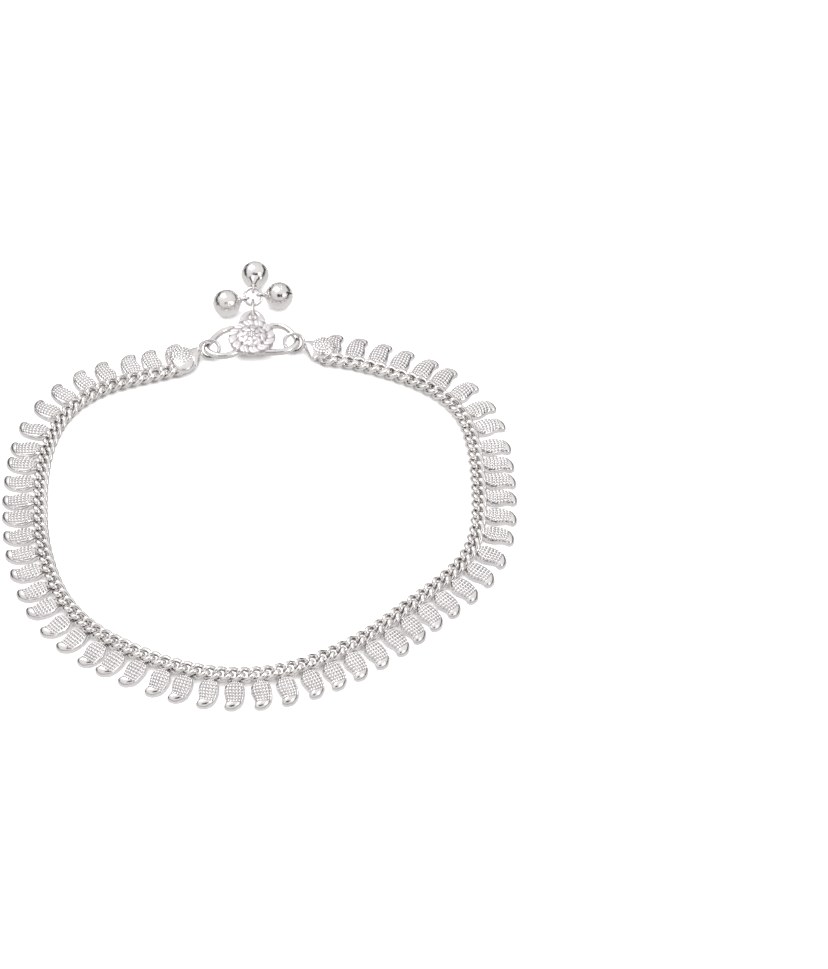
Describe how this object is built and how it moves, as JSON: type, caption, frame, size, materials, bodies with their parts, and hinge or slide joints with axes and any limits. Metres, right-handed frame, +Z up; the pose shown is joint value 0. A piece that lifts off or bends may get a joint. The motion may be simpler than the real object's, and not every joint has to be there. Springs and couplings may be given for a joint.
{
  "type": "payal anklet",
  "caption": "Silver payal anklet: an oval curb-chain loop edged with beaded keri drops, worn round the ankle and closed by an S-hook with a rosette and a cluster of ringing bells.",
  "frame": {"origin": "bottom centre of the whole anklet's bounding box, on the surface it lies on", "axes": "X across the loop, left to right in the picture; Y from the front of the loop to the clasp and bells; Z up"},
  "size_m": [0.0942, 0.1078, 0.0053],
  "materials": {
    "silver_keri_chain_left": "bright polished silver",
    "silver_keri_chain_right": "bright polished silver",
    "silver_end_cap_left": "bright polished silver",
    "silver_end_cap_right": "bright polished silver",
    "silver_clasp_hook": "bright polished silver",
    "silver_tab_ring": "bright polished silver",
    "silver_bell_ring": "bright polished silver",
    "silver_bell_left": "bright polished silver",
    "silver_bell_back": "bright polished silver",
    "silver_bell_right": "bright polished silver"
  },
  "bodies": {
    "root": {"keri_chain_left": "silver_keri_chain_left", "keri_chain_right": "silver_keri_chain_right", "end_cap_left": "silver_end_cap_left", "end_cap_right": "silver_end_cap_right", "clasp_hook": "silver_clasp_hook", "tab_ring": "silver_tab_ring", "bell_ring": "silver_bell_ring", "bell_left": "silver_bell_left", "bell_back": "silver_bell_back", "bell_right": "silver_bell_right"}
  },
  "joints": []
}
